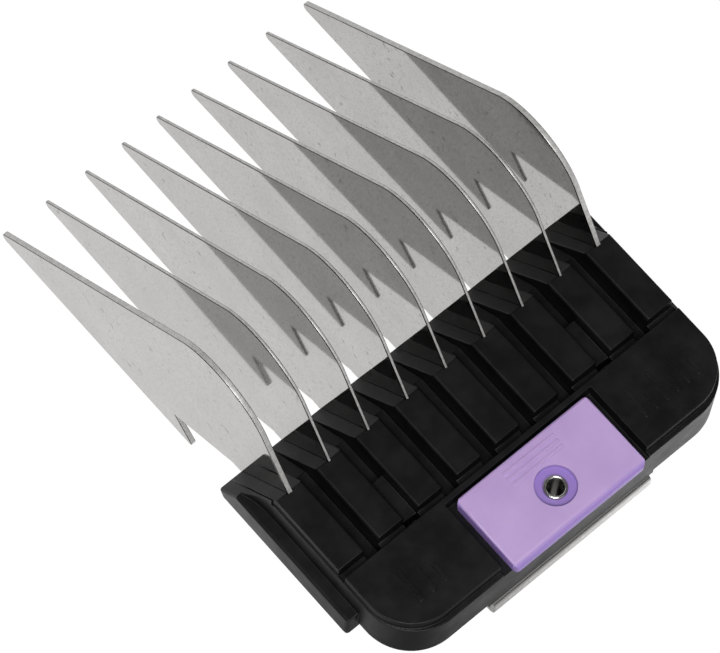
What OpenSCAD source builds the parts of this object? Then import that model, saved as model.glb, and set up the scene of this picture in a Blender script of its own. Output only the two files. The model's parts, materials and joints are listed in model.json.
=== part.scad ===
// Guard comb for a detachable clipper blade. Nine stamped steel tines are moulded into a
// plastic body, and a sprung steel latch, worked by a button on top, holds the blade.
// Millimetres. X runs across the comb, +Y towards the tine tips, +Z towards the skin.
// The origin is on the blade seat, on the centre line.

/* [Tines] */
// Distance from the blade's teeth to the edge that rides on the skin
cut_length = 19.2; // [14:0.1:24]
// Number of tines
tine_count = 9; // [9:2:11]
// Centre distance of neighbouring tines
tine_pitch = 6.1; // [5.6:0.1:7.6]
// Sheet thickness of the two outer tines
outer_tine_t = 0.75; // [0.5:0.05:1.2]
// Sheet thickness of the tines between them
inner_tine_t = 0.45; // [0.4:0.05:1.0]
// How far the tines reach past the front of the body
tine_reach = 47.2; // [38:0.5:58]
// Slope of the skin edge
skin_angle = 42.3; // [36:0.1:46]
// Slope of the back of the hump, where the tine rises from the body
hump_angle = 61.2; // [56:0.1:66]
// Radius of the hump
hump_r = 9.6; // [6:0.1:11]
// Radius of the tip
tip_r = 0.8; // [0.4:0.05:1.2]
// Distance from the front of the body to the bottom of the tooth notch
notch_ahead = 12.6; // [10:0.1:15]
// Depth of the tooth notch below the blade seat
notch_drop = 10.2; // [8:0.1:12]
// Length of the hook below the notch, along the tine
hook_back = 3.8; // [2.5:0.1:5]
// Height of the hook below the notch
hook_drop = 4.4; // [3:0.1:6]
// Radius of the hook's point
hook_r = 0.45; // [0.2:0.05:0.7]
// How far each tine's tip leans to the right, as bent in making
tip_leans = [0.1, 0.75, 1.0, 0.88, 0.45, 0.08, 0, 0.23, 0.65]; // [0:0.01:1.2]
// Radius of the holes that lock a tine's root in the plastic
lock_hole_r = 0.8; // [0.5:0.05:1.1]

/* [Body] */
// Height of the fingers above the blade seat
plate_h = 6.0; // [5:0.1:7.5]
// Plastic left under the channels
floor_t = 1.8; // [1.4:0.1:2.4]
// Width of a finger
finger_w = 4.0; // [3:0.1:4.8]
// Plate beyond the centre of the outer tine, on each side
edge_margin = 2.25; // [2.2:0.05:4]
// Distance from the origin back to the rear wall
rear_len = 13.45; // [12.6:0.05:16]
// Distance from the origin forward to the top of the ramp
kink_y = 10.4; // [9:0.1:13]
// Length of the front ramp
ramp_run = 8.0; // [6.5:0.1:10]
// Drop of the front ramp
ramp_drop = 9.5; // [8.6:0.1:10]
// Wall of the ramp, square to its face
ramp_t = 2.6; // [2.2:0.1:3]
// Radius of the rear corners
corner_r = 7.0; // [3:0.1:10]
// Step from the fingers and pads down to the ledge round the plate
ledge_drop = 1.6; // [0.4:0.1:2]
// Width of the ledge at the sides
ledge_side = 0.25; // [0.2:0.05:1]
// Width of the ledge at the rear
ledge_rear = 0.7; // [0.4:0.1:1.5]
// Small bevel on the finger edges
edge_bevel = 0.25; // [0.1:0.05:0.4]
// Depth of the cross groove behind the fingers
groove_d = 1.9; // [1:0.1:3]
// Width of the cross groove behind the fingers
groove_w = 1.1; // [0.8:0.1:1.5]

/* [Skirts] */
// How far the skirts stand out past the plate
skirt_out = 1.75; // [1:0.05:3]
// Wall of the plate's sides above the blade pocket
skirt_in = 1.5; // [1:0.1:2.5]
// Depth of the skirts below the blade seat
skirt_drop = 4.9; // [4.6:0.1:6]
// Height of the skirt's outer step above the blade seat
skirt_rise = 0.1; // [0.1:0.1:1.6]
// Distance from the origin back to the end of the skirts
skirt_back = 5.0; // [3:0.1:6]
// Depth of the rim round the rear of the plate
rim_drop = 3.3; // [1:0.1:3.6]

/* [Latch] */
// Travel of the latch
latch_travel = 1.8; // [1.2:0.1:2.1]
// Width of the button
button_w = 20.6; // [16:0.1:24]
// Length of the button
button_l = 11.0; // [10.2:0.1:12]
// How far the button overhangs the rear wall
button_over = 0.7; // [0:0.1:1]
// Thickness of the button
button_t = 2.25; // [1.9:0.05:3]
// Gap between the button and the sides of its recess
button_gap = 1.2; // [0.5:0.1:2]
// Recess floor above the blade seat
recess_z = 4.0; // [3.4:0.1:4.4]
// Radius of the counterbore round the rivet
counterbore_r = 2.62; // [2.2:0.02:3.2]
// Depth of the counterbore
counterbore_d = 0.9; // [0.6:0.05:1.2]
// Barrel radius of the tubular rivet
rivet_r = 1.3; // [1:0.05:1.5]
// How far the rivet's heads stand out past its barrel
rivet_flange = 0.25; // [0.2:0.05:0.6]
// Wall of the rivet's barrel
rivet_wall = 0.2; // [0.15:0.05:0.4]
// Depth of the rivet's blind bore
rivet_bore_depth = 3.0; // [2:0.1:5]
// Width of the latch plate
clip_w = 25.2; // [20:0.1:30]
// Sheet thickness of the latch plate
clip_t = 0.8; // [0.5:0.05:1.0]
// Depth of the plastic block that carries the latch
block_drop = 4.2; // [3.6:0.1:5]
// Outer height of the latch's rear channel
channel_h = 3.24; // [2.8:0.02:4]
// Length of the channel's lower flange
channel_lip = 2.0; // [1.4:0.1:2.6]
// Coil diameter of the latch springs
spring_d = 2.3; // [1.8:0.05:2.4]
// Wire diameter of the latch springs
spring_wire = 0.34; // [0.25:0.01:0.45]
// Coils in each latch spring
spring_turns = 6; // [4:1:8]

/* [Hidden] */
$fn = 64;

// Clearances
slide_gap = 0.06;      // sliding faces of the latch
rivet_gap = 0.03;      // rivet barrel in the button and the latch plate
slot_gap = 0.2;        // rivet barrel in the body's slot
cut_over = 1;          // how far a cutting shape runs past the face it cuts
tuck = 0.02;           // how far an outline's corner lies inside the arc that rounds it

// Plan of the body
middle = (tine_count + 1) / 2;
half_w = (tine_count - 1) / 2 * tine_pitch + edge_margin;
skirt_x = half_w + skirt_out;
pocket_x = half_w - skirt_in;
rear_y = -rear_len;
front_y = kink_y + ramp_run;
front_z = plate_h - ramp_drop;
ledge_z = plate_h - ledge_drop;
lip_back = 0.6;        // front lip's lower edge, behind the front edge
flare_start = kink_y + 0.6;
flare_len = 6;
flare_steps = 8;       // straight steps along the flare's curve

// Front ramp: unit vector down its face, and the one into the wall
ramp_len = norm([ramp_run, ramp_drop]);
ramp_dir = [ramp_run, -ramp_drop] / ramp_len;
ramp_in = [-ramp_drop, -ramp_run] / ramp_len;

// Latch block and button
recess_clear = 0.42;   // recess ahead of the button
rivet_inset = 4.78;    // centre of the rivet ahead of the button's rear edge
block_side = 0.6;      // latch block beyond the latch plate, on each side
block_ahead = 4.2;     // latch block ahead of the rivet
clip_proud = 0.45;     // latch plate behind the rear wall
button_back = rear_y - button_over;
button_front = button_back + button_l;
recess_x = button_w / 2 + button_gap;
recess_front = button_front + recess_clear;
button_z = recess_z + slide_gap;
button_top = button_z + button_t;
rivet_y = button_back + rivet_inset;
slot_r = rivet_r + slot_gap;
block_x = clip_w / 2 + block_side;
block_front = rivet_y + block_ahead;
clip_z = -block_drop - slide_gap;
clip_back = rear_y - clip_proud;
clip_lip = 1.5;        // the part of the latch plate ahead of the block
clip_bend = 1.0;       // outer radius of the latch plate's bends
spring_x = clip_w * 0.3;
pocket_side = 0.2;     // room beside a spring
pocket_wall = 1.45;    // plastic behind a spring
pocket_roof = 0.4;     // plastic over a spring
pocket_back = rear_y + pocket_wall;
pocket_front = block_front - 0.7;
tab_back = pocket_front - 0.9;
tab_low = 0.8;         // a tab's top, below the underside of the plate
tab_slit = 2.4;        // slit behind each tab, where it was bent up
spring_end_gap = 0.04;
spring_z = -(block_drop + 0.2) / 2;

// Cross groove behind the fingers
groove_ahead = 1.9;    // bridge and groove ahead of the button's recess
groove_front = recess_front + groove_ahead;
groove_back = groove_front - groove_w;

// Channels between the fingers
channel_w = tine_pitch - finger_w;
channel_knee = 0.7 * ramp_t;  // the floor turns down this far behind the ramp's face
step_len = 6.2;        // raised part of two channels' floors
step_h = 2.2;
step_over = 0.1;       // the step's overlap with the walls and the floor

function line_at(normal, point) = [normal[0], normal[1], normal * point];
function meet(a, b) = let (d = a[0] * b[1] - a[1] * b[0])
    [(a[2] * b[1] - a[1] * b[2]) / d, (a[0] * b[2] - a[2] * b[0]) / d];
function shift_in(a, r) = [a[0], a[1], a[2] - r];
function round_centre(a, b, r) = meet(shift_in(a, r), shift_in(b, r));
function normal_of(a) = [a[0], a[1]];
function ramp_y(z) = kink_y + (plate_h - z) * ramp_run / ramp_drop;

// Tine outline in Y and Z, from its edge lines; a line is [normal y, normal z, distance]
notch = [front_y + notch_ahead, -notch_drop];
skin_normal = [sin(skin_angle), cos(skin_angle)];
skin_line = [skin_normal[0], skin_normal[1], skin_normal * notch + cut_length];
hump_line = line_at([-sin(hump_angle), cos(hump_angle)], [kink_y, plate_h]);
tip_y = front_y + tine_reach;
tip_corner = [tip_y, (skin_line[2] - skin_line[0] * tip_y) / skin_line[1]];
hook_corner = notch - [hook_back, hook_drop];
base_dir = (tip_corner - hook_corner) / norm(tip_corner - hook_corner);
base_line = line_at([base_dir[1], -base_dir[0]], hook_corner);
hook_dir = [-hook_back, -hook_drop] / norm([hook_back, hook_drop]);
hook_line = line_at([hook_dir[1], -hook_dir[0]], notch);
hump_centre = round_centre(skin_line, hump_line, hump_r);
tip_centre = round_centre(skin_line, base_line, tip_r);
hook_centre = round_centre(base_line, hook_line, hook_r);

// Root of a tine, inside the plastic
root_cover = 1.1;      // plastic over and under the root
root_back = groove_front + 2;
root_ramp = 1.3 * (ramp_t - 0.9);  // how far the root lies inside the ramp's face
root_step = 1.5;       // length of the shoulder ahead of the front edge
root_fall = 0.15;      // drop of the shoulder's lower edge
root_shoulder = 0.55;  // height of the shoulder's step below the front edge
root_lift = 0.1;       // a tine leaves the plastic this far behind the top of the ramp
root_low = plate_h - root_cover;
root_high_y = kink_y - 1.2;
root_front_z = front_z - 0.5;
root_inner_y = ramp_y(root_front_z) + root_ramp * ramp_in[0];
root_knee_y = ramp_y(floor_t / 2) + root_ramp * ramp_in[0];

function tine_x(i) = (i - middle) * tine_pitch;
function is_outer(i) = i == 1 || i == tine_count;
function tine_t(i) = is_outer(i) ? outer_tine_t : inner_tine_t;
function tip_lean(i) = tip_leans[(i - 1) % len(tip_leans)];

// Draws a Y-Z outline as a plate across X, centred on x = 0
module across(width) {
    rotate([90, 0, 90])
        translate([0, 0, -width / 2])
            linear_extrude(width)
                children();
}

module tine_outline() {
    difference() {
        union() {
            polygon([
                [root_high_y, root_low],
                [root_back, root_low],
                [root_back, floor_t / 2],
                [root_knee_y, floor_t / 2],
                [root_inner_y, root_front_z],
                [front_y, root_front_z],
                [front_y + root_step, root_front_z - root_fall],
                [front_y + root_step, front_z - root_shoulder],
                notch,
                hook_centre + (hook_r - tuck) * normal_of(hook_line),
                hook_centre + (hook_r - tuck) * normal_of(base_line),
                tip_centre + (tip_r - tuck) * normal_of(base_line),
                tip_centre + (tip_r - tuck) * skin_normal,
                hump_centre + (hump_r - tuck) * skin_normal,
                hump_centre + (hump_r - tuck) * normal_of(hump_line),
                [kink_y - root_lift, plate_h + root_lift]
            ]);
            translate(hump_centre) circle(hump_r, $fn = 128);
            translate(tip_centre) circle(tip_r);
            translate(hook_centre) circle(hook_r);
        }
        for (y = [root_back + 2, root_back + 6])
            translate([y, (root_low + floor_t / 2) / 2]) circle(lock_hole_r);
    }
}

module tine(i) {
    color("silver")
        translate([tine_x(i), kink_y, 0])
            rotate([0, 0, -atan(tip_lean(i) / (tip_y - kink_y))])
                translate([0, -kink_y, 0])
                    across(tine_t(i)) tine_outline();
}

// Plan of the plate, drawn in from the sides and the rear
module plate_plan(in_side, in_rear, front) {
    r = corner_r - max(in_side, in_rear);
    w = half_w - in_side;
    y = rear_y + in_rear;
    intersection() {
        union() {
            translate([-w, y + r]) square([2 * w, front - y]);
            translate([-w + r, y]) square([2 * (w - r), r + cut_over]);
            for (s = [-1, 1])
                translate([s * (w - r), y + r]) circle(r);
        }
        translate([-w - cut_over, y - cut_over])
            square([2 * (w + cut_over), front - y + cut_over]);
    }
}

// Side view of the front part: seat, ramp and front lip
module front_profile(top) {
    bevel = [ramp_y(0), 0] + [ramp_t / ramp_in[0], 0];
    lip = [ramp_y(-skirt_drop), -skirt_drop] + [ramp_t / ramp_in[0], 0];
    polygon([
        [0, 0],
        bevel,
        lip,
        [front_y - lip_back, -skirt_drop],
        [front_y, front_z],
        [kink_y, top],
        [0, top]
    ]);
}

module skirt_side() {
    difference() {
        across(2 * skirt_x)
            polygon([
                [-skirt_back, -skirt_drop],
                [front_y - lip_back, -skirt_drop],
                [front_y, front_z],
                [ramp_y(skirt_rise), skirt_rise],
                [-skirt_back, skirt_rise]
            ]);
        translate([-pocket_x, -skirt_back - cut_over, -skirt_drop - cut_over])
            cube([2 * pocket_x, front_y + skirt_back + 2 * cut_over,
                  skirt_drop + skirt_rise + 2 * cut_over]);
    }
}

// Hollow flare where the plate's side widens into the skirt at the front
module front_flare() {
    flare_r = (skirt_out * skirt_out + flare_len * flare_len) / (2 * skirt_out);
    inner_x = half_w - 0.1;
    curve = [for (k = [0:flare_steps]) let (y = flare_len * k / flare_steps)
        [half_w + flare_r - sqrt(flare_r * flare_r - y * y), flare_start + y]];
    intersection() {
        across(2 * skirt_x) front_profile(plate_h);
        for (s = [0, 1])
            mirror([s, 0, 0])
                translate([0, 0, -skirt_drop])
                    linear_extrude(skirt_drop + plate_h)
                        polygon(concat(
                            [[inner_x, flare_start]],
                            curve,
                            [[skirt_x, front_y], [inner_x, front_y]]
                        ));
    }
}

module rear_rim() {
    translate([0, 0, -rim_drop])
        linear_extrude(rim_drop)
            difference() {
                plate_plan(0, 0, -skirt_back);
                plate_plan(skirt_in, skirt_in, -skirt_back + cut_over);
            }
}

module latch_block() {
    translate([-block_x, rear_y, -block_drop])
        cube([2 * block_x, block_front - rear_y, block_drop]);
}

// Channel between two fingers; its floor runs out to the front edge
module channel() {
    across(channel_w)
        polygon([
            [groove_back, floor_t],
            [ramp_y(floor_t) - channel_knee, floor_t],
            [front_y, front_z],
            [front_y + cut_over, front_z],
            [front_y + cut_over, plate_h + cut_over],
            [groove_back, plate_h + cut_over]
        ]);
}

module finger_bevel() {
    w = channel_w + 2 * edge_bevel;
    translate([0, groove_back, plate_h])
        rotate([-90, 0, 0])
            linear_extrude(front_y - groove_back)
                polygon([
                    [-w / 2 - cut_over, -cut_over],
                    [w / 2 + cut_over, -cut_over],
                    [0, w / 2]
                ]);
}

// Step in a channel's floor, which stays when the channel is cut
module raised_floor() {
    w = channel_w + 2 * step_over;
    translate([-w / 2, groove_front, floor_t - step_over])
        cube([w, step_len, step_h + step_over]);
}

module rivet_slot() {
    translate([0, 0, -block_drop - cut_over]) {
        h = block_drop + recess_z + 2 * cut_over;
        translate([0, rivet_y, 0]) cylinder(r = slot_r, h = h);
        translate([0, rivet_y - latch_travel, 0]) cylinder(r = slot_r, h = h);
        translate([-slot_r, rivet_y - latch_travel, 0])
            cube([2 * slot_r, latch_travel, h]);
    }
}

module spring_pocket() {
    w = spring_d + 2 * pocket_side;
    translate([-w / 2, pocket_back, -block_drop - cut_over])
        cube([w, pocket_front - pocket_back, block_drop + cut_over - pocket_roof]);
}

module size_mark(place, w, length, h) {
    sink = 0.1;
    translate([place[0], place[1], plate_h - sink])
        cube([w, length, sink + h]);
}

// Plain raised bars, three on the left pad and six on the right
module size_marks() {
    mark_h = 0.12;
    mark_w = 0.65;
    pad_x = (half_w + recess_x) / 2;
    left_lengths = [4.8, 3.7, 2.6];
    right_lengths = [4.2, 2.4, 4.2, 2.4, 4.2, 2.4];
    for (k = [0:2])
        size_mark([-pad_x - 2.4 + 1.9 * k, rear_y + 3.6], mark_w, left_lengths[k], mark_h);
    for (k = [0:5])
        size_mark([pad_x - 5 + 1.7 * k, rear_y + 3.6], mark_w, right_lengths[k], mark_h);
}

module body() {
    color("dimgray")
        difference() {
            union() {
                linear_extrude(ledge_z) plate_plan(0, 0, 1);
                linear_extrude(plate_h) plate_plan(ledge_side, ledge_rear, 1);
                across(2 * half_w) front_profile(ledge_z);
                across(2 * (half_w - ledge_side)) front_profile(plate_h);
                skirt_side();
                front_flare();
                rear_rim();
                latch_block();
                size_marks();
            }
            difference() {
                for (i = [1:tine_count - 1])
                    translate([tine_x(i) + tine_pitch / 2, 0, 0]) {
                        channel();
                        finger_bevel();
                    }
                for (i = [2, tine_count - 2])
                    translate([tine_x(i) + tine_pitch / 2, 0, 0]) raised_floor();
            }
            translate([-half_w + ledge_side, groove_back, plate_h - groove_d])
                cube([2 * (half_w - ledge_side), groove_w, groove_d + cut_over]);
            translate([-recess_x, rear_y - cut_over, recess_z])
                cube([2 * recess_x, recess_front - rear_y + cut_over, plate_h]);
            rivet_slot();
            for (s = [-1, 1])
                translate([s * spring_x, 0, 0]) spring_pocket();
            for (i = [1:tine_count]) tine(i);
        }
}

// Button plan with small corner radii
module button_plan() {
    r = 0.7;  // corner radius
    translate([-button_w / 2 + r, button_back])
        square([button_w - 2 * r, button_l]);
    translate([-button_w / 2, button_back + r])
        square([button_w, button_l - 2 * r]);
    for (x = [-1, 1])
        for (y = [button_back + r, button_front - r])
            translate([x * (button_w / 2 - r), y]) circle(r);
}

module latch_button() {
    front_c = 0.3;
    rear_c = 0.8;
    rear_drop = 0.64;
    rib_h = 0.15;
    rib_w = 0.4;
    rib_len = 8;
    rib_pitch = 0.85;
    rib_inset = 1.5;
    rib_sink = 0.1;
    color("mediumpurple")
        difference() {
            union() {
                intersection() {
                    translate([0, 0, button_z]) linear_extrude(button_t) button_plan();
                    across(button_w)
                        polygon([
                            [button_back, button_z],
                            [button_front, button_z],
                            [button_front, button_top - front_c],
                            [button_front - front_c, button_top],
                            [button_back + rear_c, button_top],
                            [button_back, button_top - rear_drop]
                        ]);
                    translate([0, button_front, 0])
                        rotate([90, 0, 0])
                            linear_extrude(button_l)
                                polygon([
                                    [-button_w / 2, button_z],
                                    [button_w / 2, button_z],
                                    [button_w / 2, button_top - front_c],
                                    [button_w / 2 - front_c, button_top],
                                    [-button_w / 2 + front_c, button_top],
                                    [-button_w / 2, button_top - front_c]
                                ]);
                }
                for (k = [0:2])
                    translate([
                        -rib_len / 2,
                        button_front - rib_inset - rib_pitch * k,
                        button_top - rib_sink
                    ])
                        cube([rib_len, rib_w, rib_sink + rib_h]);
            }
            translate([0, rivet_y, button_top - counterbore_d])
                cylinder(r = counterbore_r, h = counterbore_d + cut_over);
            translate([0, rivet_y, button_z - cut_over])
                cylinder(r = rivet_r + rivet_gap, h = button_t + 2 * cut_over);
        }
}

// Semi-tubular rivet: solid foot below, rolled rim round a blind bore above
module rivet() {
    head_z = button_top - counterbore_d;
    foot_z = clip_z - clip_t;
    bore = rivet_r - rivet_wall;
    roll = (rivet_wall + rivet_flange) / 2;
    bore_floor = head_z + roll - rivet_bore_depth;
    color("silver")
        translate([0, rivet_y, 0])
            rotate_extrude()
                union() {
                    translate([0, foot_z - roll])
                        square([rivet_r, bore_floor - foot_z + roll]);
                    translate([bore, foot_z])
                        square([rivet_wall, head_z + roll - foot_z]);
                    translate([0, foot_z - roll])
                        square([rivet_r + rivet_flange, roll]);
                    translate([bore, head_z])
                        square([2 * roll, roll]);
                    translate([bore + roll, head_z + roll - tuck])
                        intersection() {
                            circle(roll);
                            translate([-roll, 0]) square([2 * roll, 2 * roll]);
                        }
                }
}

// Side view of the latch plate: flat plate, then the rear channel open to the front
module clip_profile() {
    bottom = clip_z - channel_h;
    inner_r = clip_bend - clip_t;
    plate_len = block_front + clip_lip - clip_back;
    difference() {
        union() {
            translate([clip_back + clip_bend, clip_z - clip_t])
                square([plate_len - clip_bend, clip_t]);
            translate([clip_back + clip_bend, bottom])
                square([channel_lip - clip_bend, clip_t]);
            translate([clip_back, bottom + clip_bend])
                square([clip_t, channel_h - 2 * clip_bend]);
            for (z = [bottom + clip_bend, clip_z - clip_bend])
                translate([clip_back + clip_bend, z]) circle(clip_bend);
        }
        translate([clip_back + clip_t, bottom + clip_bend])
            square([2 * clip_bend, channel_h - 2 * clip_bend]);
        for (z = [bottom + clip_bend, clip_z - clip_bend])
            translate([clip_back + clip_bend, z]) circle(inner_r);
        translate([clip_back + clip_bend, bottom + clip_t])
            square([2 * clip_bend, channel_h - 2 * clip_t]);
    }
}

module latch_plate() {
    tab_w = spring_d - 0.3;
    slit_w = tab_w + 0.2;
    color("gainsboro")
        difference() {
            union() {
                across(clip_w) clip_profile();
                for (s = [-1, 1])
                    translate([s * spring_x - tab_w / 2, tab_back, clip_z - clip_t])
                        cube([tab_w, clip_t, block_drop - tab_low + clip_t]);
            }
            for (s = [-1, 1])
                translate([s * spring_x - slit_w / 2, tab_back - tab_slit, clip_z - clip_t - cut_over])
                    cube([slit_w, tab_slit, clip_t + 2 * cut_over]);
            translate([0, rivet_y, clip_z - clip_t - cut_over])
                cylinder(r = rivet_r + rivet_gap, h = clip_t + 2 * cut_over);
        }
}

// Coil spring along Y, swept as a ring of points round a helix
module coil(length) {
    sides = 6;
    per_turn = 14;
    rings = spring_turns * per_turn;
    coil_r = (spring_d - spring_wire) / 2;
    wire_r = spring_wire / 2;
    rise = length - spring_wire;
    points = [for (k = [0:rings]) let (a = 360 * k / per_turn, y = wire_r + rise * k / rings)
        for (j = [0:sides - 1]) let (b = 360 * j / sides, r = coil_r + wire_r * cos(b))
            [r * cos(a), y + wire_r * sin(b), r * sin(a)]];
    walls = [for (k = [0:rings - 1]) for (j = [0:sides - 1]) let (m = (j + 1) % sides)
        [k * sides + j, k * sides + m, (k + 1) * sides + m, (k + 1) * sides + j]];
    first = [for (j = [sides - 1:-1:0]) j];
    last = [for (j = [0:sides - 1]) rings * sides + j];
    polyhedron(points, concat(walls, [first, last]));
}

module spring(s) {
    color("lightsteelblue")
        translate([s * spring_x, pocket_back + spring_end_gap, spring_z])
            coil(tab_back - pocket_back - 2 * spring_end_gap);
}

body();
tine(1);  // tine_1
tine(2);  // tine_2
tine(3);  // tine_3
tine(4);  // tine_4
tine(5);  // tine_5
tine(6);  // tine_6
tine(7);  // tine_7
tine(8);  // tine_8
tine(9);  // tine_9
latch_button();
rivet();
latch_plate();
spring(-1);  // spring_left
spring(1);  // spring_right
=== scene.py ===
"""Looks for the clipper guard comb: black plastic body, nine steel tines and a sprung latch.

Metres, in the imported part's frame: +X across the comb, +Y towards the tine tips, +Z skin side.
"""
import json
import math

import bmesh
import bpy
from mathutils import Matrix, Vector


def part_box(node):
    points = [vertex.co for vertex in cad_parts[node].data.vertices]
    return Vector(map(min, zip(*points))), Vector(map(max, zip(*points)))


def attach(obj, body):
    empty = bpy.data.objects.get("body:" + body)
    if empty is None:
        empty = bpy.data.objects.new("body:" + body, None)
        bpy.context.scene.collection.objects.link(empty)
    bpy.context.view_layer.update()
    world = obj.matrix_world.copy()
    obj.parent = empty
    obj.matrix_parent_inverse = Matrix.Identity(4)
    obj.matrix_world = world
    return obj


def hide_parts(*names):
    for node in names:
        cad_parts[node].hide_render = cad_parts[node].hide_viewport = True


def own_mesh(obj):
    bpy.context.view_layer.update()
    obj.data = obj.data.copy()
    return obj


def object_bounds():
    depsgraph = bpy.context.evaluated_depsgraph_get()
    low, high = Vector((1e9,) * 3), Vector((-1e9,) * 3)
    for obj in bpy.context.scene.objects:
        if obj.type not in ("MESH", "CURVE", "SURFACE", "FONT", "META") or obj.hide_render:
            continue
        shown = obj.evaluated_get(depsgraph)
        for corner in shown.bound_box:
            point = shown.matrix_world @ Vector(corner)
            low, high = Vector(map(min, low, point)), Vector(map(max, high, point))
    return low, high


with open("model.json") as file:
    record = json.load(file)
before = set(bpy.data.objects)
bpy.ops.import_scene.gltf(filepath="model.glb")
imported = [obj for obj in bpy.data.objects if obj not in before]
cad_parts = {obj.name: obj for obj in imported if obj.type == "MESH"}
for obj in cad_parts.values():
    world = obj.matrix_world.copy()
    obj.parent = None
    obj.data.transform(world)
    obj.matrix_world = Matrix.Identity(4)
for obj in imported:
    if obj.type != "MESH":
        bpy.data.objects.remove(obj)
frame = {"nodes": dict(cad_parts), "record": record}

MM = 0.001
cad_box = [list(corner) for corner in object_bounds()]
scene = bpy.context.scene
scene.view_settings.view_transform = "Standard"


def add_object(name, data):
    """A new object in the scene, at the frame's origin."""
    thing = bpy.data.objects.new(name, data)
    scene.collection.objects.link(thing)
    return thing


# ---------------------------------------------------------------- camera

CAMERA_PLACE = (-0.1523, -0.1199, 0.5272)
CAMERA_RIGHT = (0.7557, -0.6539, 0.0379)
CAMERA_UP = (0.5994, 0.7137, 0.3626)
LENS_MM = 234.8
SENSOR_MM = 36
NEAREST = 0.01


def add_camera():
    """The photograph's view: a long lens, above, behind and to the left of the comb."""
    right = Vector(CAMERA_RIGHT)
    up = Vector(CAMERA_UP)
    back = right.cross(up).normalized()
    up = back.cross(right).normalized()
    data = bpy.data.cameras.new("camera")
    data.lens = LENS_MM
    data.sensor_width = SENSOR_MM
    data.clip_start = NEAREST
    camera = add_object("camera", data)
    axes = Matrix((right.normalized(), up, back)).transposed()
    camera.matrix_world = Matrix.Translation(CAMERA_PLACE) @ axes.to_4x4()
    scene.camera = camera


# ---------------------------------------------------------------- stage and light

FLOOR_HALF = 3.0
LIGHT_AIM = Vector((0, 0.015, 0))


def add_floor(name, z, emission):
    """A plain white floor. Returns it with its material, so that its glow can be shaped."""
    x = y = FLOOR_HALF
    mesh = bpy.data.meshes.new(name)
    mesh.from_pydata([(-x, -y, z), (x, -y, z), (x, y, z), (-x, y, z)], [], [(0, 1, 2, 3)])
    floor = add_object(name, mesh)
    m = Material(name, (0.02, 0.02, 0.02), 0.9)
    m.shader.inputs["Specular IOR Level"].default_value = 0
    m.shader.inputs["Emission Color"].default_value = (1, 1, 1, 1)
    m.shader.inputs["Emission Strength"].default_value = emission
    mesh.materials.append(m.material)
    return floor, m


def add_floors():
    """One floor that the camera sees, and one that lights the comb, with a painted shadow: its
    glow is dim behind its left corner.
    """
    low = cad_box[0]
    seen_z = low[2] - 0.4 * MM
    glow_z = low[2] - 0.6 * MM
    dim, bright = 0.06, 1.1
    dim_radius, bright_radius = 3 * MM, 45 * MM

    seen, _ = add_floor("floor", seen_z, 1.0)
    seen.visible_diffuse = False
    seen.visible_glossy = False
    seen.visible_shadow = False

    glow, m = add_floor("floor_glow", glow_z, bright)
    glow.visible_camera = False
    away = m.node("ShaderNodeVectorMath", operation="DISTANCE")
    m.link(m.place, away.inputs[0])
    away.inputs[1].default_value = (low[0] - 2 * MM, low[1] - 6 * MM, glow_z)
    m.feed("Emission Strength",
           m.ramp(away.outputs["Value"], dim_radius, bright_radius, dim, bright))


def add_light(name, place, size, power):
    """A soft white box that faces the comb. place and size are in metres, power in watts."""
    data = bpy.data.lights.new(name, "AREA")
    data.shape = "RECTANGLE"
    data.size, data.size_y = size
    data.energy = power
    light = add_object(name, data)
    light.location = place
    light.rotation_euler = (LIGHT_AIM - Vector(place)).to_track_quat("-Z", "Y").to_euler()
    light.visible_camera = False


def add_world():
    """Dim walls behind and to the sides, brighter ones low down ahead of the tips."""
    world = bpy.data.worlds.new("studio")
    world.use_nodes = True
    tree = world.node_tree
    towards = tree.nodes.new("ShaderNodeTexCoord").outputs["Generated"]
    ahead = tree.nodes.new("ShaderNodeVectorMath")
    ahead.operation = "DOT_PRODUCT"
    ahead.inputs[1].default_value = (0.45, 0.85, -0.25)
    tree.links.new(towards, ahead.inputs[0])
    glow = tree.nodes.new("ShaderNodeMapRange")
    for key, number in (("From Min", 0.3), ("From Max", 0.8), ("To Min", 0.13), ("To Max", 0.7)):
        glow.inputs[key].default_value = number
    tree.links.new(ahead.outputs["Value"], glow.inputs["Value"])
    shader = tree.nodes["Background"]
    shader.inputs["Color"].default_value = (1, 1, 1, 1)
    tree.links.new(glow.outputs["Result"], shader.inputs["Strength"])
    scene.world = world


# ---------------------------------------------------------------- materials

def scaled(colour, factor):
    """A colour with each channel times factor."""
    return tuple(factor * channel for channel in colour)


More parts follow.
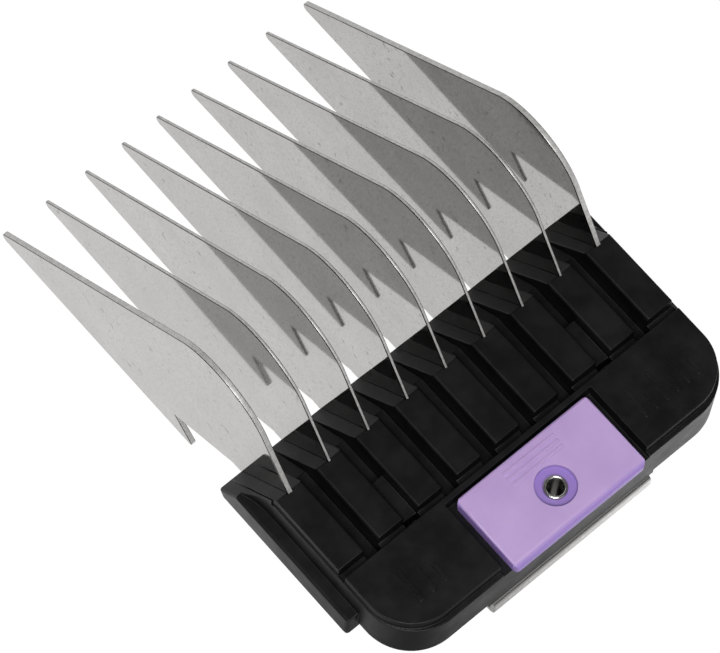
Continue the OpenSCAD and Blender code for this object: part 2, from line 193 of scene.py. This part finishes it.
class Material:
    """A Principled material, and short ways to add procedural detail to it."""

    def __init__(self, name, colour, roughness, metallic=0.0):
        self.material = bpy.data.materials.new(name)
        self.material.use_nodes = True
        self.tree = self.material.node_tree
        self.shader = self.tree.nodes["Principled BSDF"]
        self.shader.inputs["Base Color"].default_value = (*colour, 1)
        self.shader.inputs["Roughness"].default_value = roughness
        self.shader.inputs["Metallic"].default_value = metallic
        coordinates = self.tree.nodes.new("ShaderNodeTexCoord")
        self.place = coordinates.outputs["Object"]
        self.normal = coordinates.outputs["Normal"]
        self.relief = None

    def link(self, a, b):
        self.tree.links.new(a, b)

    def feed(self, key, value):
        """Drives an input of the shader from a socket."""
        self.link(value, self.shader.inputs[key])

    def node(self, kind, **settings):
        node = self.tree.nodes.new(kind)
        for key, value in settings.items():
            setattr(node, key, value)
        return node

    def along(self, vector, axis):
        """The X, Y or Z component of a vector socket."""
        node = self.node("ShaderNodeSeparateXYZ")
        self.link(vector, node.inputs[0])
        return node.outputs[axis]

    def noise(self, scale, detail, roughness):
        """Noise in the object's own coordinates. scale is in cells per metre."""
        node = self.node("ShaderNodeTexNoise")
        node.inputs["Scale"].default_value = scale
        node.inputs["Detail"].default_value = detail
        node.inputs["Roughness"].default_value = roughness
        self.link(self.place, node.inputs["Vector"])
        return node.outputs["Fac"]

    def ramp(self, value, low, high, out_low=0.0, out_high=1.0):
        """value from low..high mapped to out_low..out_high, clamped."""
        node = self.node("ShaderNodeMapRange")
        for key, number in (("From Min", low), ("From Max", high), ("To Min", out_low),
                            ("To Max", out_high)):
            node.inputs[key].default_value = number
        self.link(value, node.inputs["Value"])
        return node.outputs["Result"]

    def times(self, a, b):
        node = self.node("ShaderNodeMath", operation="MULTIPLY")
        self.link(a, node.inputs[0])
        self.link(b, node.inputs[1])
        return node.outputs[0]

    def size_of(self, value):
        """A number without its sign."""
        node = self.node("ShaderNodeMath", operation="ABSOLUTE")
        self.link(value, node.inputs[0])
        return node.outputs[0]

    def mix(self, factor, first, second):
        """first where factor is 0, second where it is 1. Each is a colour or a socket."""
        node = self.node("ShaderNodeMix", data_type="RGBA")
        self.link(factor, node.inputs[0])
        for socket, value in ((node.inputs[6], first), (node.inputs[7], second)):
            if isinstance(value, tuple):
                socket.default_value = (*value, 1)
            else:
                self.link(value, socket)
        return node.outputs[2]

    def mix_number(self, factor, first, second):
        """As mix, with a number first and a socket second."""
        node = self.node("ShaderNodeMix", data_type="FLOAT")
        self.link(factor, node.inputs[0])
        node.inputs[2].default_value = first
        self.link(second, node.inputs[3])
        return node.outputs[0]

    def bump(self, value, distance, strength):
        """Adds a layer of relief; distance is the full height in metres."""
        node = self.node("ShaderNodeBump")
        node.inputs["Strength"].default_value = strength
        node.inputs["Distance"].default_value = distance
        self.link(value, node.inputs["Height"])
        if self.relief:
            self.link(self.relief, node.inputs["Normal"])
        self.relief = node.outputs["Normal"]
        self.feed("Normal", self.relief)


def black_plastic():
    """Satin moulded plastic: fine spark-eroded grain, faint rubbed patches."""
    m = Material("black_plastic", (0.0055, 0.0055, 0.0058), 0.4)
    m.shader.inputs["Specular IOR Level"].default_value = 0.24
    rubbed = m.noise(260, 4, 0.6)
    m.feed("Base Color",
           m.mix(m.ramp(rubbed, 0.4, 0.7), (0.0024, 0.0024, 0.0028), (0.0052, 0.0051, 0.0052)))
    m.feed("Roughness", m.ramp(rubbed, 0.3, 0.7, 0.36, 0.5))
    m.bump(m.noise(5200, 2, 0.6), 0.004 * MM, 0.7)
    m.bump(m.noise(420, 3, 0.5), 0.01 * MM, 0.4)
    return m.material


def purple_plastic(top_z):
    """Satin lavender plastic, slightly mottled, with painted shade: deeper in colour below its top
    at top_z.
    """
    m = Material("purple_plastic", (0.43, 0.30, 0.56), 0.42)
    mottle = m.noise(190, 4, 0.55)
    lilac = m.mix(m.ramp(mottle, 0.3, 0.7), (0.41, 0.285, 0.54), (0.45, 0.32, 0.575))
    # Painted shade: the sides and sunk floors below the top get a deeper violet.
    shaded_below_top = m.ramp(m.along(m.place, "Z"), top_z - 0.6 * MM, top_z - 0.12 * MM, 1, 0)
    m.feed("Base Color", m.mix(shaded_below_top, lilac, (0.27, 0.175, 0.475)))
    m.feed("Roughness", m.ramp(mottle, 0.3, 0.7, 0.36, 0.46))
    m.shader.inputs["Subsurface Weight"].default_value = 0.08
    m.shader.inputs["Subsurface Scale"].default_value = 1.5 * MM
    m.bump(m.noise(3600, 2, 0.6), 0.004 * MM, 0.6)
    return m.material


# Tones of the steel's marks, and of the painted shade in a bore, as shares of the sheet's own
# colour.
CLOUD_TONES = (0.86, 1.08)
SPECK_TONE = 0.66
PIT_TONE = 0.34
BORE_SHADE_TONE = 0.07
# Darkest and lightest tone of a cut edge, as shares of the edge's colour.
EDGE_TONES = (0.8, 1.1)
# Smoothest and roughest grain on a face, as shares of the sheet's roughness.
GRAIN = (0.8, 1.25)


def steel(name, colour, roughness, across, edge_colour, edge_roughness, edge_metal=1.0,
          edge_shade_tone=1.0, bore_shade_z=None):
    """Rolled sheet steel: bright faces whose normal is along the axis across, rough cut edges.

    edge_metal is how metallic the cut edges are, and edge_shade_tone the tone of a painted line of
    shade where a face rolls over into one. bore_shade_z, if given, is the bottom and top of a bore
    darkened with painted shade.
    """
    m = Material(name, colour, roughness, 1.0)
    squareness = m.size_of(m.along(m.normal, across))
    is_face = m.ramp(squareness, 0.3, 0.5)

    cloud = m.noise(130, 6, 0.65)
    fine = m.noise(1500, 3, 0.7)
    speck = m.ramp(m.noise(2600, 3, 0.7), 0.5, 0.66)
    patch = m.ramp(m.noise(150, 2, 0.5), 0.44, 0.6)
    pits = m.times(m.ramp(m.noise(1000, 2, 0.5), 0.64, 0.7), patch)
    face = m.mix(m.ramp(cloud, 0.3, 0.7), *(scaled(colour, tone) for tone in CLOUD_TONES))
    face = m.mix(speck, face, scaled(colour, SPECK_TONE))
    face = m.mix(pits, face, scaled(colour, PIT_TONE))
    edge = m.mix(m.ramp(fine, 0.35, 0.65), *(scaled(edge_colour, tone) for tone in EDGE_TONES))
    look = m.mix(is_face, edge, face)
    # Painted shade: a dark line along the rounding where a face rolls over into a cut edge.
    painted_edge_shade = m.times(is_face, m.ramp(squareness, 0.9, 0.98, 1, 0))
    look = m.mix(painted_edge_shade, look, scaled(colour, edge_shade_tone))
    # Painted shade: the bore between these heights is darkened almost to black.
    if bore_shade_z:
        height = m.along(m.place, "Z")
        above = m.ramp(height, bore_shade_z[0], bore_shade_z[0] + 0.2 * MM)
        below = m.ramp(height, bore_shade_z[1] - 0.5 * MM, bore_shade_z[1], 1, 0)
        look = m.mix(m.times(above, below), look, scaled(colour, BORE_SHADE_TONE))
    m.feed("Base Color", look)
    grained = m.ramp(fine, 0.25, 0.75, *(roughness * share for share in GRAIN))
    m.feed("Roughness", m.mix_number(is_face, edge_roughness, grained))
    m.feed("Metallic", m.ramp(is_face, 0, 1, edge_metal, 1))
    m.bump(fine, 0.001 * MM, 0.5)
    m.bump(cloud, 0.004 * MM, 0.35)
    return m.material


# ---------------------------------------------------------------- pieces

# Vertices closer than this are one, and facets that turn by less than this are one face.
MERGE = 0.002 * MM
FLAT = math.radians(0.4)
# The largest share of a neighbouring edge that a rounding may take, and the cosine above
# which a neighbouring edge counts as the same edge going on.
EDGE_SHARE = 0.42
GOES_ON = 0.87
# The skirts' outer edges are within this of the body's side, and below this height.
SKIRT_BAND = 0.4 * MM
SKIRT_TOP = 0.3 * MM


def body_of(node):
    """The moving body that a CAD node belongs to."""
    for body, nodes in frame["record"]["behaviour"]["bodies"].items():
        if node in nodes:
            return body


def edge_room(edge):
    """The length of the shortest edge that turns away from this one at its ends."""
    room = math.inf
    for vert in edge.verts:
        along = (edge.other_vert(vert).co - vert.co).normalized()
        for other in vert.link_edges:
            if other is edge:
                continue
            away = (other.other_vert(vert).co - vert.co).normalized()
            if abs(along.dot(away)) < GOES_ON:
                room = min(room, other.calc_length())
    return room


def stand_in(node, mesh, material):
    """An object of one material that is shown in a CAD node's place and moves with its body."""
    mesh.name = node + "_look"
    mesh.materials.clear()
    mesh.materials.append(material)
    piece = add_object(node + "_look", mesh)
    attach(piece, body_of(node))
    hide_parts(node)
    return piece


def rounded(node, material, width, wide=None, steps=2, angle=28):
    """Shows a copy of a CAD node with its edges rounded where they turn by over angle degrees.

    wide, if given, is (wider width, test): edges that pass the test are rounded more.
    """
    widest = wide[0] if wide else width
    mesh = frame["nodes"][node].data.copy()
    work = bmesh.new()
    work.from_mesh(mesh)
    bmesh.ops.remove_doubles(work, verts=work.verts, dist=MERGE)
    bmesh.ops.dissolve_limit(work, angle_limit=FLAT, verts=work.verts, edges=work.edges)
    weight = work.edges.layers.float.new("bevel_weight_edge")
    for edge in work.edges:
        if edge.calc_face_angle(0) > math.radians(angle):
            target = widest if wide and wide[1](edge) else width
            edge[weight] = min(target, EDGE_SHARE * edge_room(edge)) / widest
    for face in work.faces:
        face.smooth = True
        face.material_index = 0
    work.to_mesh(mesh)
    work.free()
    if "custom_normal" in mesh.attributes:
        mesh.attributes.remove(mesh.attributes["custom_normal"])

    piece = stand_in(node, mesh, material)
    bevel = piece.modifiers.new("edges", "BEVEL")
    bevel.width = widest
    bevel.segments = steps
    bevel.limit_method = "WEIGHT"
    bevel.use_clamp_overlap = False
    normals = piece.modifiers.new("normals", "WEIGHTED_NORMAL")
    normals.mode = "FACE_AREA"
    normals.weight = 50


skirt_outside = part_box("body")[1][0] - SKIRT_BAND


def on_skirt(edge):
    """The outer edges of the side skirts, below the plate."""
    return all(abs(v.co.x) > skirt_outside and v.co.z < SKIRT_TOP for v in edge.verts)


def paint(node, material):
    """Gives a CAD node, which keeps its own shape, a better material."""
    for slot in frame["nodes"][node].material_slots:
        slot.material = material


def coil_spring(node, material):
    """Shows a smooth-shaded copy of a latch spring, with a mesh of its own, that moves with its
    body.
    """
    mesh = frame["nodes"][node].data.copy()
    for face in mesh.polygons:
        face.use_smooth = True
    piece = stand_in(node, mesh, material)
    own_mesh(piece)


# ---------------------------------------------------------------- the scene

add_camera()
add_floors()
add_world()
add_light("top_box", (-0.38, -0.38, 1.07), (0.5, 0.5), 14)
add_light("rear_box", (-0.1, -0.9, 0.6), (0.9, 0.4), 1)

black = black_plastic()
rib_height = 0.15 * MM
purple = purple_plastic(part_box("latch_button")[1][2] - rib_height)
# The tines and the plate get a painted shade line along their roundings.
tine_steel = steel("tine_steel", (0.32, 0.311, 0.303), 0.045, "X", (0.47, 0.465, 0.45), 0.42,
                   edge_metal=0.35, edge_shade_tone=0.2)
plate_steel = steel("plate_steel", (0.62, 0.61, 0.6), 0.25, "Z", (0.62, 0.61, 0.6), 0.35,
                    edge_metal=0.8, edge_shade_tone=0.45)
rivet_low, rivet_high = (corner[2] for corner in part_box("rivet"))
# The rivet's bore gets painted shade between these heights.
rivet_steel = steel("rivet_steel", (0.62, 0.61, 0.59), 0.18, "Z", (0.5, 0.5, 0.49), 0.25,
                    bore_shade_z=(rivet_low + 0.6 * MM, rivet_high - 0.3 * MM))
spring_steel = steel("spring_steel", (0.5, 0.5, 0.5), 0.3, "Z", (0.5, 0.5, 0.5), 0.3)

rounded("body", black, 0.14 * MM, wide=(0.55 * MM, on_skirt), steps=3)
for tine in sorted(node for node in frame["nodes"] if node.startswith("tine_")):
    rounded(tine, tine_steel, 0.13 * MM, steps=3)
rounded("latch_button", purple, 0.04 * MM, angle=60)
rounded("latch_plate", plate_steel, 0.07 * MM)
paint("rivet", rivet_steel)
for spring in ("spring_left", "spring_right"):
    coil_spring(spring, spring_steel)
